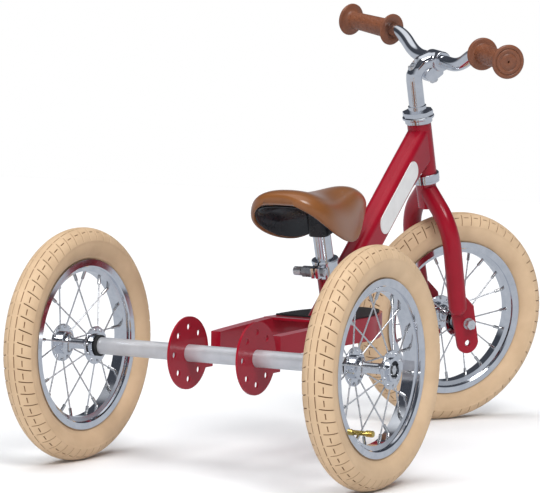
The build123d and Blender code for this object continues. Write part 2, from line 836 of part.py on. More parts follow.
def slant_plane():
    """The slanting plane on which the quill's foot meets its wedge."""
    slant = radians(WEDGE_SLANT)
    return placed(STEER, Plane((0, 0, QUILL_FOOT), x_dir=(1, 0, 0), z_dir=(sin(slant), 0, cos(slant))))


def make_stem():
    """Forged gooseneck on a quill, with a split clamp for the bar."""
    neck_half = 10.5
    clamp_half = 15.0
    clamp_radius = 13.8
    lug_half = 9.0
    quill_top = 503.0
    slot_angle = 31.0
    slot_gap = 1.6
    slot_back = 15 * cos(radians(slot_angle))
    slot_down = 15 * sin(radians(slot_angle))
    with BuildPart() as stem:
        with BuildSketch(STEER.offset(QUILL_FOOT - 12)):
            Circle(QUILL_RADIUS)
        extrude(amount=quill_top - QUILL_FOOT + 12)
        with BuildSketch(FORK_SIDE):
            with BuildLine():
                Polyline(
                    (11.1, 499),
                    (-11.1, 499),
                    (-11.1, 513),
                    (22, 535.5),
                    (40, 535.1),
                    (40, 512),
                    (17, 509.5),
                    close=True,
                )
            make_face()
        extrude(amount=neck_half, both=True)
        with BuildSketch(FORK_SIDE):
            with Locations((CLAMP_AHEAD, CLAMP_UP)):
                Circle(clamp_radius)
        extrude(amount=clamp_half, both=True)
        with BuildSketch(FORK_SIDE):
            with BuildLine():
                Polyline(
                    (46, 511),
                    (42.9, 501.6),
                    (20.4, 494.5),
                    (11.1, 502.5),
                    (17, 511),
                    (34, 518),
                    close=True,
                )
            make_face()
        extrude(amount=lug_half, both=True)
        with BuildSketch(FORK_SIDE):
            with Locations((CLAMP_AHEAD, CLAMP_UP)):
                Circle(BAR_RADIUS + 0.05)
        extrude(amount=30, both=True, mode=Mode.SUBTRACT)
        with BuildSketch(STEER.offset(QUILL_FOOT - 20)):
            Circle(4.5)
        extrude(amount=200, mode=Mode.SUBTRACT)
        with BuildSketch(STEER.offset(514)):
            Circle(7)
        extrude(amount=40, mode=Mode.SUBTRACT)
        with BuildSketch(FORK_SIDE):
            with Locations(Location((CLAMP_AHEAD - slot_back, CLAMP_UP - slot_down), slot_angle)):
                Rectangle(34, slot_gap)
        extrude(amount=30, both=True, mode=Mode.SUBTRACT)
        with BuildSketch(pinch_plane()):
            Circle(3.2)
        extrude(amount=40, both=True, mode=Mode.SUBTRACT)
        split(bisect_by=slant_plane(), keep=Keep.TOP)
    finish(stem, "stem")


def pinch_plane():
    """Seat of the clamp bolt's head, looking out of the lug's lower face."""
    out = Vector(0.31, 0, -0.95).normalized()
    return placed(STEER, Plane((30.5, 0, 497.6), x_dir=(0, 1, 0), z_dir=tuple(out)))


def make_stem_fasteners():
    """The wedge inside the steerer, its long bolt and the bar clamp's bolt."""
    wedge_foot = 372.0
    with BuildPart() as wedge:
        with BuildSketch(STEER.offset(wedge_foot)):
            Circle(QUILL_RADIUS)
        extrude(amount=40)
        split(bisect_by=slant_plane(), keep=Keep.BOTTOM)
        with BuildSketch(STEER.offset(wedge_foot)):
            Circle(3.5)
        extrude(amount=60, mode=Mode.SUBTRACT)
    finish(wedge, "stem_wedge")
    with BuildPart() as bolt:
        with BuildSketch(STEER.offset(wedge_foot + 2)):
            Circle(3.45)
        extrude(amount=514 - wedge_foot - 2)
        with BuildSketch(STEER.offset(514)):
            Circle(6.6)
        extrude(amount=8)
        with BuildSketch(STEER.offset(518)):
            RegularPolygon(3.4, 6)
        extrude(amount=4, mode=Mode.SUBTRACT)
    finish(bolt, "stem_bolt")
    pinch = make_hex_bolts([pinch_plane()], 10, 4, 3.0, 13, 1.0)
    finish(pinch, "stem_clamp_bolt")


def grip_line(side, across):
    """A point on a grip's middle line, in steering coordinates, so far across from the stem."""
    sweep_back = 0.18
    upsweep = 0.0705
    beyond = across - GRIP_START
    return (42.2 - sweep_back * beyond, side * across, 547.6 + upsweep * beyond)


def bar_points(side):
    """Corners of half the handlebar, in steering coordinates."""
    return [
        (CLAMP_AHEAD, 0, CLAMP_UP),
        (CLAMP_AHEAD, side * 55, CLAMP_UP),
        grip_line(side, 95),
        grip_line(side, 196),
    ]


def grip_plane(side):
    """Origin at the inner end of a grip, on the bar's middle, normal outwards along the bar."""
    start = point(STEER, *grip_line(side, GRIP_START))
    end = point(STEER, *grip_line(side, GRIP_END))
    return Plane(start, x_dir=STEER.z_dir, z_dir=end - start)


def make_handlebar():
    """One steel tube with a low rise, held at its middle."""
    left = [point(STEER, *corner) for corner in bar_points(1)]
    right = [point(STEER, *corner) for corner in bar_points(-1)]
    with BuildPart() as handlebar:
        with BuildLine() as path:
            FilletPolyline(*right[:0:-1], *left[1:], radius=66)
        with BuildSketch(Plane(path.line @ 0, z_dir=path.line % 0)):
            Circle(BAR_RADIUS)
            Circle(BAR_RADIUS - 1.6, mode=Mode.SUBTRACT)
        sweep()
    finish(handlebar, "handlebar")


def make_grip(side, name):
    """Rubber grip with a flange at each end, closed over the bar's end."""
    start = grip_plane(side)
    length = 90.8
    grip = revolved(start, [
        (BAR_RADIUS + 0.02, 0),
        (20.5, 0),
        (22.3, 1.2),
        (22.3, 2.4),
        (20.5, 3.6),
        (13.6, 4.6),
        (12.6, length - 9),
        (14, length - 6),
        (21, length - 5),
        (23, length - 3.5),
        (23, length - 2),
        (21, length - 0.6),
        (17, length - 0.6),
        (17, length),
        (1.5, length),
        (1.5, length - 5),
        (BAR_RADIUS + 0.02, length - 5),
    ])
    finish(grip, name)


# The seat.
SADDLE_STATIONS = [
    # distance ahead of the rear axle, half width, crown height, edge height, thickness
    (136, 20, 343, 337, 8),
    (145, 44, 349, 327, 13),
    (164, 59, 349.5, 310, 15),
    (196, 58.5, 345, 292, 15),
    (228, 54, 343, 280.5, 15),
    (262, 46.5, 345, 279, 15),
    (294, 34.5, 349, 291, 15),
    (326, 22, 342.5, 306, 14),
    (350, 10, 328, 316, 8),
]


def saddle_curve(half, crown, edge, sag):
    """Points across the saddle: flat over the middle, then draping to the edges."""
    shoulder = crown - 0.22 * (crown - edge) - sag
    return [(-half, edge), (-0.72 * half, shoulder), (0, crown - sag), (0.72 * half, shoulder), (half, edge)]


def cover_body():
    """Padded cover with a raised tail and skirts that hang over both sides."""
    with BuildPart() as saddle_cover:
        for ahead, half, crown, edge, thick in SADDLE_STATIONS:
            with BuildSketch(Plane((REAR_AXLE_X + ahead, 0, 0), x_dir=(0, 1, 0), z_dir=(1, 0, 0))):
                with BuildLine():
                    upper = saddle_curve(half, crown, edge, 0)
                    lower = saddle_curve(half - 2, crown, edge - 1, thick)
                    Spline(*upper)
                    Line(upper[-1], lower[-1])
                    Spline(*lower[::-1])
                    Line(lower[0], upper[0])
                make_face()
        loft()
    return saddle_cover


def make_saddle_base(cover):
    """Moulded shell under the cover, with the socket that takes the post."""
    seat = seat_plane()
    socket_low = 114.0
    socket_high = 148.0
    post_top = 124.0
    gap = 0.4
    socket_width = 28.5
    with BuildPart() as saddle_base:
        for ahead, half, crown, edge, thick in SADDLE_STATIONS[1:-1]:
            with BuildSketch(Plane((REAR_AXLE_X + ahead, 0, 0), x_dir=(0, 1, 0), z_dir=(1, 0, 0))):
                with BuildLine():
                    upper = saddle_curve(half - 4, crown, edge + 2, thick + gap)
                    lower = saddle_curve(half - 6, crown, edge + 1, thick + 3.4)
                    Spline(*upper)
                    Line(upper[-1], lower[-1])
                    Spline(*lower[::-1])
                    Line(lower[0], upper[0])
                make_face()
        loft()
        with BuildSketch(seat.offset(socket_low)):
            RectangleRounded(socket_width, socket_width, 8)
        extrude(amount=socket_high - socket_low)
        with BuildSketch(seat.offset(socket_low)):
            Circle(POST_RADIUS)
        extrude(amount=post_top - socket_low, mode=Mode.SUBTRACT)
        add(cover.part, mode=Mode.SUBTRACT)
    finish(saddle_base, "saddle_base")


def make_seat_post():
    """Seat post, from the saddle's socket down into the seat tube."""
    seat = seat_plane()
    post = ring(seat, POST_RADIUS - 1.6, POST_RADIUS, 12, 124)
    finish(post, "seat_post")


def make_seat_clamp():
    """Split collar round the seat tube's top, with its pinch bolt behind."""
    seat = seat_plane()
    low = 55.0
    tube_top = 72.0
    high = 79.0
    collar = 17.0
    bolt_up = 70.0
    bolt_back = 23.0
    lug_half = 7.0
    with BuildPart() as seat_clamp:
        add(revolved(seat, [
            (SEAT_TUBE_RADIUS, low),
            (collar - 1, low),
            (collar, low + 1),
            (collar, tube_top),
            (collar + 1.2, high - 2),
            (collar + 0.6, high),
            (POST_RADIUS + RUNNING_GAP, high),
            (POST_RADIUS + RUNNING_GAP, tube_top),
            (SEAT_TUBE_RADIUS, tube_top),
        ]).part)
        with BuildSketch(seat.offset(bolt_up - 8)):
            with Locations((-bolt_back, 0)):
                RectangleRounded(16, 2 * lug_half, 2)
        extrude(amount=14)
        with BuildSketch(seat.offset(low - 1)):
            Circle(SEAT_TUBE_RADIUS)
        extrude(amount=tube_top - low + 1, mode=Mode.SUBTRACT)
        with BuildSketch(seat.offset(low - 1)):
            with Locations((-bolt_back, 0)):
                Rectangle(24, 2.5)
        extrude(amount=40, mode=Mode.SUBTRACT)
        hole_axis = Plane((-bolt_back - 1, 0, bolt_up - 1), x_dir=(1, 0, 0), z_dir=(0, 1, 0))
        with BuildSketch(placed(seat, hole_axis)):
            Circle(3.2)
        extrude(amount=20, both=True, mode=Mode.SUBTRACT)
    finish(seat_clamp, "seat_clamp")
    knob_radius = 6.0
    knob_length = 11.5
    sleeve_length = 14.0
    sleeve_flats = 13.0
    neck_length = 1.5
    nut_flats = 10.0
    nut_height = 5.0
    shank_radius = 3.0
    total = sleeve_length + neck_length + knob_length
    bolt_face = Plane((-bolt_back - 1, lug_half, bolt_up - 1), x_dir=(1, 0, 0), z_dir=(0, 1, 0))
    bolt_axis = placed(seat, bolt_face)
    with BuildPart() as seat_clamp_bolt:
        with BuildSketch(bolt_axis):
            RegularPolygon(sleeve_flats / sqrt(3), 6)
        extrude(amount=sleeve_length)
        with BuildSketch(bolt_axis.offset(-2 * lug_half - nut_height - 1)):
            Circle(shank_radius)
        extrude(amount=2 * lug_half + nut_height + 1 + total)
        with BuildSketch(bolt_axis.offset(sleeve_length + neck_length)):
            Circle(knob_radius)
        extrude(amount=knob_length)
        chamfer(seat_clamp_bolt.faces().sort_by(Axis(bolt_axis.origin, bolt_axis.z_dir))[-1].edges(), 0.8)
        with BuildSketch(bolt_axis.offset(-2 * lug_half)):
            RegularPolygon(nut_flats / sqrt(3), 6)
        extrude(amount=-nut_height)
    finish(seat_clamp_bolt, "seat_clamp_bolt")


def make_frame():
    """Every piece that stays with the frame."""
    make_head_tube()
    make_down_tube()
    make_seat_tube()
    make_base_rail()
    make_rear_dropouts()
    make_axle_disc(1, "axle_disc_left")
    make_axle_disc(-1, "axle_disc_right")
    make_rear_axle()
    make_footboard()
    make_footboard_grip()
    make_badge()
    make_headset()
    make_seat_clamp()


def make_front():
    """The fork, stem, handlebar and grips."""
    make_fork_steerer()
    make_fork_blades()
    make_front_axle()
    make_stem()
    make_stem_fasteners()
    make_handlebar()
    make_grip(1, "grip_left")
    make_grip(-1, "grip_right")


def make_seat():
    """The saddle and its post."""
    make_seat_post()
    cover = cover_body()
    finish(cover, "saddle_cover")
    make_saddle_base(cover)


os.makedirs("parts", exist_ok=True)
make_frame()
make_front()
make_seat()
for wheel_name, wheel_plane in WHEELS.items():
    make_wheel(wheel_plane, wheel_name)
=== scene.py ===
import bpy
import json
import math
import numpy as np
from mathutils import Matrix, Vector


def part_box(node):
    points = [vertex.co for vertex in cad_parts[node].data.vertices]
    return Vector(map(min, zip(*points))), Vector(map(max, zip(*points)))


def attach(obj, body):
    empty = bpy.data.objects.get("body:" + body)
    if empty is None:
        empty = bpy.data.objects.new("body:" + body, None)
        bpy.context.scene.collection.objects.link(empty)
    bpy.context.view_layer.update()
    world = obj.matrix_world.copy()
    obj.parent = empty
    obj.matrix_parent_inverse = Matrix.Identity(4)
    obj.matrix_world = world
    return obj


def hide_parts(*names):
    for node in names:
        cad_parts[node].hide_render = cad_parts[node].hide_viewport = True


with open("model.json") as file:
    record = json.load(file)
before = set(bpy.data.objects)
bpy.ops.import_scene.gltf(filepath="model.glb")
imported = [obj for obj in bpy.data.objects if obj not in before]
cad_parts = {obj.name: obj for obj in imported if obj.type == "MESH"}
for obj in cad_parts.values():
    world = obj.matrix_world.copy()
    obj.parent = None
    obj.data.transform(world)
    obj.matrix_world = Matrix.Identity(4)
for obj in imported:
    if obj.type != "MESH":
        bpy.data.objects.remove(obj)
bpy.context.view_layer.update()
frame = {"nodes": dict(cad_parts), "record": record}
NODES = frame["nodes"]
JOINTS = {joint["name"]: joint for joint in frame["record"]["behaviour"]["joints"]}

# The rear axle and the steering axis, read from the joints that turn about them.
REAR_X = JOINTS["rear_left_wheel_spin"]["pos_m"][0]
STEER_AXIS = Vector(JOINTS["steering"]["axis"]).normalized()
ACROSS = Vector(JOINTS["front_wheel_spin"]["axis"]).normalized()
AHEAD = ACROSS.cross(STEER_AXIS).normalized()
STEER_POINT = Vector(JOINTS["steering"]["pos_m"])
BAR_CENTRE = Vector(JOINTS["handlebar_tilt"]["pos_m"])
TAU = 2 * math.pi
MM = 0.001

# How far the top of the painted crown lies below the steering joint's point.
CROWN_SEAT_DOWN = 0.045


# Materials: each is a principled shader with a mottled colour, mottled gloss and fine relief.
def shader(name, colour, second, metallic=0.0, rough=(0.3, 0.4), coat=0.0, coat_rough=0.05,
           patch=40.0, grain=900.0, relief=0.02, depth=0.0002, specular=0.5):
    """A principled material whose colour and roughness wander, with a fine surface relief."""
    mat = bpy.data.materials.new(name)
    mat.use_nodes = True
    tree = mat.node_tree
    nodes, links = tree.nodes, tree.links
    bsdf = nodes["Principled BSDF"]
    bsdf.inputs["Metallic"].default_value = metallic
    bsdf.inputs["Coat Weight"].default_value = coat
    bsdf.inputs["Coat Roughness"].default_value = coat_rough
    bsdf.inputs["Specular IOR Level"].default_value = specular
    place = nodes.new("ShaderNodeTexCoord")
    patches = nodes.new("ShaderNodeTexNoise")
    patches.inputs["Scale"].default_value = patch
    patches.inputs["Detail"].default_value = 5.0
    links.new(place.outputs["Object"], patches.inputs["Vector"])
    ramp = nodes.new("ShaderNodeValToRGB")
    ramp.color_ramp.elements[0].position = 0.3
    ramp.color_ramp.elements[0].color = (*colour, 1)
    ramp.color_ramp.elements[1].position = 0.72
    ramp.color_ramp.elements[1].color = (*second, 1)
    links.new(patches.outputs["Fac"], ramp.inputs["Fac"])
    links.new(ramp.outputs["Color"], bsdf.inputs["Base Color"])
    gloss = nodes.new("ShaderNodeMapRange")
    gloss.inputs["To Min"].default_value = rough[0]
    gloss.inputs["To Max"].default_value = rough[1]
    links.new(patches.outputs["Fac"], gloss.inputs["Value"])
    links.new(gloss.outputs["Result"], bsdf.inputs["Roughness"])
    fine = nodes.new("ShaderNodeTexNoise")
    fine.inputs["Scale"].default_value = grain
    fine.inputs["Detail"].default_value = 3.0
    links.new(place.outputs["Object"], fine.inputs["Vector"])
    bump = nodes.new("ShaderNodeBump")
    bump.inputs["Strength"].default_value = relief
    bump.inputs["Distance"].default_value = depth
    links.new(fine.outputs["Fac"], bump.inputs["Height"])
    links.new(bump.outputs["Normal"], bsdf.inputs["Normal"])
    return mat


CHROME_TONES = ((0.72, 0.74, 0.78), (0.84, 0.85, 0.88))
# Painted shade for the tyre's grooves: a brown mixed into the cream where the tread is cut.
GROOVE_PAINTED_SHADE = (0.15, 0.07, 0.022)
CROWN_RED = (0.33, 0.005, 0.019)
PAINT = shader("red_enamel", (0.27, 0.004, 0.015), (0.32, 0.006, 0.020), rough=(0.26, 0.34), coat=0.3,
               patch=22, grain=500, relief=0.06, specular=0.2)
CHROME = shader("bright_chrome", *CHROME_TONES, metallic=1.0, rough=(0.06, 0.14), patch=70, grain=1200,
                relief=0.015)
STEEL = shader("zinc_steel", (0.62, 0.63, 0.65), (0.76, 0.77, 0.79), metallic=0.85, rough=(0.22, 0.34),
               patch=120, grain=1500, relief=0.05)
SATIN = shader("satin_aluminium", (0.62, 0.63, 0.66), (0.70, 0.71, 0.74), metallic=0.55, rough=(0.34, 0.44),
               patch=60, grain=2200, relief=0.08)
BRASS = shader("valve_brass", (0.55, 0.40, 0.10), (0.70, 0.52, 0.16), metallic=1.0, rough=(0.2, 0.35),
               patch=200, grain=1500)
NICKEL = shader("nipple_nickel", (0.60, 0.60, 0.60), (0.78, 0.78, 0.77), metallic=1.0, rough=(0.12, 0.22),
                patch=200, grain=1500)
CREAM = shader("cream_rubber", (0.56, 0.39, 0.24), (0.65, 0.465, 0.295), rough=(0.55, 0.7), patch=35,
               grain=700, relief=0.15, specular=0.35)
BLACK_RUBBER = shader("black_rubber", (0.012, 0.012, 0.013), (0.022, 0.022, 0.023), rough=(0.6, 0.75),
                      patch=90, grain=1400, relief=0.4)
BLACK_PLASTIC = shader("black_plastic", (0.008, 0.009, 0.012), (0.015, 0.016, 0.020), rough=(0.22, 0.32),
                       patch=60, grain=1600, relief=0.25)
LEATHER = shader("saddle_leather", (0.215, 0.078, 0.022), (0.25, 0.095, 0.028), rough=(0.26, 0.32),
                 coat=0.35, coat_rough=0.2, patch=14, grain=650, relief=0.14)
GRIP_RUBBER = shader("grip_rubber", (0.165, 0.056, 0.027), (0.215, 0.076, 0.036), rough=(0.36, 0.46),
                     patch=70, grain=1000, relief=0.2)
PLATE = shader("plain_plate", (0.70, 0.69, 0.68), (0.78, 0.77, 0.76), rough=(0.25, 0.35), coat=0.4, patch=50,
               grain=900)


def mix_into_base(material, factor, colour):
    """Mix a colour into a material's base by a factor that other nodes work out."""
    nodes, links = material.node_tree.nodes, material.node_tree.links
    base_colour = nodes["Principled BSDF"].inputs["Base Color"]
    mix = nodes.new("ShaderNodeMix")
    mix.data_type = "RGBA"
    mix.inputs["B"].default_value = (*colour, 1)
    links.new(factor, mix.inputs["Factor"])
    links.new(base_colour.links[0].from_socket, mix.inputs["A"])
    links.new(mix.outputs["Result"], base_colour)


def paint_groove_shade(material):
    """Mix brown into the base colour as painted shade in the moulded grooves, where a mesh attribute says.
    """
    shade_mask = material.node_tree.nodes.new("ShaderNodeAttribute")
    shade_mask.attribute_name = "groove_shade"
    mix_into_base(material, shade_mask.outputs["Fac"], GROOVE_PAINTED_SHADE)


def crown_material():
    """Chrome for the steerer, with red enamel on the crown boss at its foot."""
    mat = shader("steerer_and_crown", *CHROME_TONES, metallic=1.0, rough=(0.08, 0.16), coat=0.8, patch=60,
                 grain=900, relief=0.03)
    nodes, links = mat.node_tree.nodes, mat.node_tree.links
    place = nodes.new("ShaderNodeTexCoord")
    height = nodes.new("ShaderNodeVectorMath")
    height.operation = "DOT_PRODUCT"
    height.inputs[1].default_value = STEER_AXIS
    links.new(place.outputs["Object"], height.inputs[0])
    below = nodes.new("ShaderNodeMath")
    below.operation = "LESS_THAN"
    below.inputs[1].default_value = STEER_POINT.dot(STEER_AXIS) - CROWN_SEAT_DOWN
    links.new(height.outputs["Value"], below.inputs[0])
    mix_into_base(mat, below.outputs["Value"], CROWN_RED)
    metal = nodes.new("ShaderNodeMath")
    metal.operation = "SUBTRACT"
    metal.inputs[0].default_value = 1.0
    links.new(below.outputs["Value"], metal.inputs[1])
    links.new(metal.outputs["Value"], nodes["Principled BSDF"].inputs["Metallic"])
    return mat


# The cream tyre's grooves get painted shade.
paint_groove_shade(CREAM)

# Which node gets which finish; the wheels' pieces are named without their wheel.
FINISH_GROUPS = (
    (PAINT, "head_tube", "down_tube", "seat_tube", "base_rail", "rear_dropouts", "footboard"),
    (PAINT, "axle_disc_left", "axle_disc_right", "fork_left_blade", "fork_right_blade"),
    (crown_material(), "fork_steerer"),
    (CHROME, "rim", "hub", "headset_cups", "headset_nuts", "crown_race"),
    (CHROME, "seat_post", "seat_clamp", "stem", "handlebar"),
    (STEEL, "spokes", "headset_bearings", "rear_axle_rod", "rear_axle_bolts", "seat_clamp_bolt"),
    (STEEL, "front_axle", "front_axle_bolts", "stem_bolt", "stem_wedge", "stem_clamp_bolt"),
    (SATIN, "rear_axle_tube"),
    (NICKEL, "nipples"),
    (BRASS, "valve"),
    (CREAM, "tyre"),
    (BLACK_RUBBER, "inner_tube", "footboard_grip"),
    (BLACK_PLASTIC, "bearings", "front_axle_spacers", "saddle_base"),
    (PLATE, "badge"),
    (LEATHER, "saddle_cover"),
    (GRIP_RUBBER, "grip_left", "grip_right"),
)
FINISHES = {name: material for material, *names in FINISH_GROUPS for name in names}
WHEELS = ("front", "rear_left", "rear_right")
for node_name, node in NODES.items():
    part = node_name
    for wheel in WHEELS:
        part = part.removeprefix(f"{wheel}_") if part not in FINISHES else part
    node.data.materials.clear()
    node.data.materials.append(FINISHES[part])


# Mesh helpers.
def new_object(name, points, faces, material):
    """A smooth-shaded mesh object."""
    mesh = bpy.data.meshes.new(name)
    mesh.from_pydata([tuple(p) for p in points], [], faces)
    mesh.materials.append(material)
    mesh.polygons.foreach_set("use_smooth", [True] * len(mesh.polygons))
    mesh.update()
    piece = bpy.data.objects.new(name, mesh)
    bpy.context.collection.objects.link(piece)
    return piece


def applied(piece):
    """Replace an object's mesh by what its modifiers make of it."""
    bpy.context.view_layer.update()
    graph = bpy.context.evaluated_depsgraph_get()
    mesh = bpy.data.meshes.new_from_object(piece.evaluated_get(graph))
    piece.modifiers.clear()
    piece.data = mesh
    mesh.polygons.foreach_set("use_smooth", [True] * len(mesh.polygons))
    return piece


def closed_grid(rows, columns):
    """Quads of a grid that closes on itself both ways."""
    faces = []
    for i in range(rows):
        j = (i + 1) % rows
        for k in range(columns):
            n = (k + 1) % columns
            faces.append((i * columns + k, i * columns + n, j * columns + n, j * columns + k))
    return faces


def steering_point(ahead, across, up):
    """A point in the steering frame, in mm from the bar's middle."""
    return BAR_CENTRE + (AHEAD * ahead + ACROSS * across + STEER_AXIS * up) * MM


def lathe(name, base, along, profile, material, segments=72, dent=None):
    """A turned body about an axis, from a closed loop of (along, radius) pairs."""
    across = along.orthogonal().normalized()
    other = along.cross(across)
    points = []
    for step, radius in profile:
        for k in range(segments):
            angle = TAU * k / segments
            size = radius - (dent(step, angle) if dent else 0)
            outward = across * math.cos(angle) + other * math.sin(angle)
            points.append(base + (along * step + outward * size) * MM)
    return new_object(name, points, closed_grid(len(profile), segments), material)


# Tyres: a round casing with a moulded tread of grooves and slanted sipes. Slopes are degrees from
# the crown, and columns are fractions of one pitch of the tread.
PITCHES = 56
TYRE_CENTRE = 128.5
TYRE_SECTION = 21.5
SIPE_START = 23.6
SIPE_END = 72.5
SIPE_LEAN = 0.27
SIPE_RADIUS = 148
# Beyond this slope the casing is a little thinner than the tread.
SHOULDER_SLOPE = 77
SHOULDER_STEP = 0.5
# The tread's cuts, as (from slope, to slope, from column, to column, depth in mm).
CUTS = [
    (10.7, 13.3, 0.13, 0.96, 1.2),
    (SIPE_START - 0.1, SIPE_END + 0.1, 0.01, 0.09, 1.7),
    (38.9, 41.9, 0.34, 0.45, 1.5),
    (38.9, 41.9, 0.45, 0.81, 0.9),
]
OUTER_ROWS = [
    0, 4, 8, 10.4, 10.8, 13.2, 13.6, 17, 20.5, 22.6, SIPE_START, 28, 33, 37.4, 38.5, 39.0, 41.8, 42.3,
    44.5, 50, 56, 62, 68, SIPE_END, 74, 76.4, 78, 84, 92, 102, 114, 126, 138, 146, 150.4,
]
COLUMNS = [
    0.0, 0.012, 0.082, 0.094, 0.12, 0.14, 0.25, 0.33, 0.345, 0.44, 0.455, 0.62, 0.80, 0.815, 0.9, 0.95,
]
# The bead and the cavity on one side, as (radius, half width) in mm, ending under the crown.
INNER_PROFILE = [
    (106.8, 11.6), (101.9, 11.6), (101.9, 8.6), (112.4, 8.9), (121, 17), (137, 16.6), (147, 0),
]


def groove_depth(slope, fraction):
    """Depth of the tread, in mm, at so many degrees from the crown and so far through one pitch."""
    for low, high, first, last, depth in CUTS:
        if low < slope < high and first < fraction < last:
            return depth
    return 0.0


def make_tyre(wheel):
    """One tyre about its wheel's axle."""
    joint = JOINTS[f"{wheel}_wheel_spin"]
    centre = np.array(joint["pos_m"])
    axle = np.array(joint["axis"])
    forward, up = (AHEAD, STEER_AXIS) if wheel == "front" else (Vector((1, 0, 0)), Vector((0, 0, 1)))
    forward, up = np.array(forward), np.array(up)
    slopes = [-angle for angle in OUTER_ROWS[:0:-1]] + OUTER_ROWS
    marks = []
    rings = []
    turn = np.array([TAU * (pitch + part) / PITCHES for pitch in range(PITCHES) for part in COLUMNS])
    for slope in slopes:
        size = abs(slope)
        depth = np.array([groove_depth(size, part) for part in COLUMNS] * PITCHES)
        section = TYRE_SECTION - depth - (SHOULDER_STEP if size > SHOULDER_SLOPE else 0)
        sipe_part = math.radians(min(max(size - SIPE_START, 0), SIPE_END - SIPE_START))
        slant = sipe_part * TYRE_SECTION * SIPE_LEAN / SIPE_RADIUS
        angle = turn + slant
        radius = TYRE_CENTRE + section * math.cos(math.radians(slope))
        side = section * math.sin(math.radians(slope))
        rings.append((angle, radius, side))
        # How much painted shade each point of the tread gets, from the depth of its cut.
        marks.append(np.minimum(depth, 1.0))
    profile = INNER_PROFILE + [(radius, -side) for radius, side in INNER_PROFILE[-2::-1]]
    for radius, side in profile:
        rings.append((turn + slant, np.full(turn.shape, radius), np.full(turn.shape, side)))
        marks.append(np.zeros(turn.shape))
    points = []
    for angle, radius, side in rings:
        radial = np.outer(np.cos(angle) * radius, forward) + np.outer(np.sin(angle) * radius, up)
        points.append(centre + (radial + np.outer(side, axle)) * MM)
    name = f"{wheel}_tread_tyre"
    piece = new_object(name, np.concatenate(points), closed_grid(len(rings), len(turn)), CREAM)
    # This attribute is the mask of the painted shade in the grooves: the tread's cut depth, capped at 1.
    groove_shade = piece.data.attributes.new("groove_shade", "FLOAT", "POINT")
    groove_shade.data.foreach_set("value", np.concatenate(marks))
    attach(piece, f"{wheel}_wheel")
    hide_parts(f"{wheel}_tyre")


# The saddle: a padded cover with a thick rounded rim, draped over the sides.
SADDLE = [
    # distance ahead of the rear axle, half width, top, lowest edge, pad thickness (mm)
    (133, 26, 343.5, 331, 11),
    (137, 37, 347.0, 326, 16),
    (147, 50, 349.8, 317, 20),
    (163, 58.5, 350.0, 304, 20),
    (184, 60, 347.0, 293, 17),
    (206, 58, 344.0, 285, 15),
    (230, 53.5, 343.3, 279.5, 15),
    (256, 47.5, 345.0, 277.5, 15),
    (280, 40, 347.6, 283, 15),
    (302, 31.5, 348.6, 296, 15),
    (324, 22.5, 344.5, 309, 14),
    (341, 15, 336.5, 316, 11),
    (349, 9, 330.0, 319, 7),
]
SPAN = 24
ROUNDNESS = 2 / 2.35
RIM_LIMIT = 6.5
RIM_SHARE = 0.42
LEAST_CAVITY = 0.5
ROLL_ANGLES = (135, 90, 45)
ROLL = len(ROLL_ANGLES)
SHELL_GAP = 0.5
SHELL_WALL = 2.6
SHELL_INSET = 2.5


def rim_width(half):
    """Width of the rolled rim, narrower where the saddle is narrow."""
    return min(RIM_LIMIT, RIM_SHARE * half)


def saddle_ring(half, top, edge, pad, inset=0.0, wall=None):
    """One closed section across the saddle: outside, rolled rim, underside, rolled rim."""
    rim = wall or rim_width(half)
    foot = edge + rim / 2 + inset

    def arch(width, height):
        spots = []
        for i in range(SPAN + 1):
            angle = math.pi * i / SPAN
            across = math.cos(angle)
            spots.append((math.copysign(abs(across) ** ROUNDNESS, across) * width,
                          foot + (height - foot) * math.sin(angle) ** ROUNDNESS))
        return spots

    outside = arch(half, top)
    under = arch(half - rim, max(top - pad, foot + LEAST_CAVITY))[::-1]
    middle = half - rim / 2
    roll = [(middle - rim / 2 * math.cos(math.radians(a)), -rim / 2 * math.sin(math.radians(a)))
            for a in ROLL_ANGLES]
    left = [(-y, foot + z) for y, z in roll]
    right = [(y, foot + z) for y, z in roll[::-1]]
    return outside + left + under + right


def loft_rings(name, rings, material):
    """A closed body through (distance ahead, section) pairs, capped at both ends and smoothed."""
    points = [(REAR_X + ahead * MM, y * MM, z * MM) for ahead, ring in rings for y, z in ring]
    count = len(rings[0][1])
    faces = []
    for i in range(len(rings) - 1):
        for k in range(count):
            n = (k + 1) % count
            faces.append((i * count + k, (i + 1) * count + k, (i + 1) * count + n, i * count + n))
    for first, flip in ((0, False), ((len(rings) - 1) * count, True)):
        under = first + SPAN + ROLL + 1
        caps = [(first + i, first + i + 1, under + SPAN - i - 1, under + SPAN - i) for i in range(SPAN)]
        caps.append(tuple(first + i for i in range(SPAN, SPAN + ROLL + 2)))
        caps.append(tuple(first + i % count for i in range(count - ROLL - 1, count + 1)))
        faces += [face[::-1] if flip else face for face in caps]
    piece = new_object(name, points, faces, material)
    smoothing = piece.modifiers.new("smooth", "SUBSURF")
    smoothing.levels = 2
    return applied(piece)


def make_saddle():
    """The padded cover, and the black moulded shell that lines it from below."""
    cover = loft_rings("saddle_pad", [(ahead, saddle_ring(*size)) for ahead, *size in SADDLE], LEATHER)
    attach(cover, "seat")
    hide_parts("saddle_cover")
    rings = []
    for ahead, half, top, edge, pad in SADDLE[2:-1]:
        inside = half - rim_width(half) - SHELL_GAP
        roof = top - pad - SHELL_GAP
        section = saddle_ring(inside, roof, edge, SHELL_WALL, inset=SHELL_INSET, wall=SHELL_WALL)
        rings.append((ahead, section))
    shell = loft_rings("saddle_shell", rings, BLACK_PLASTIC)
    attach(shell, "seat")


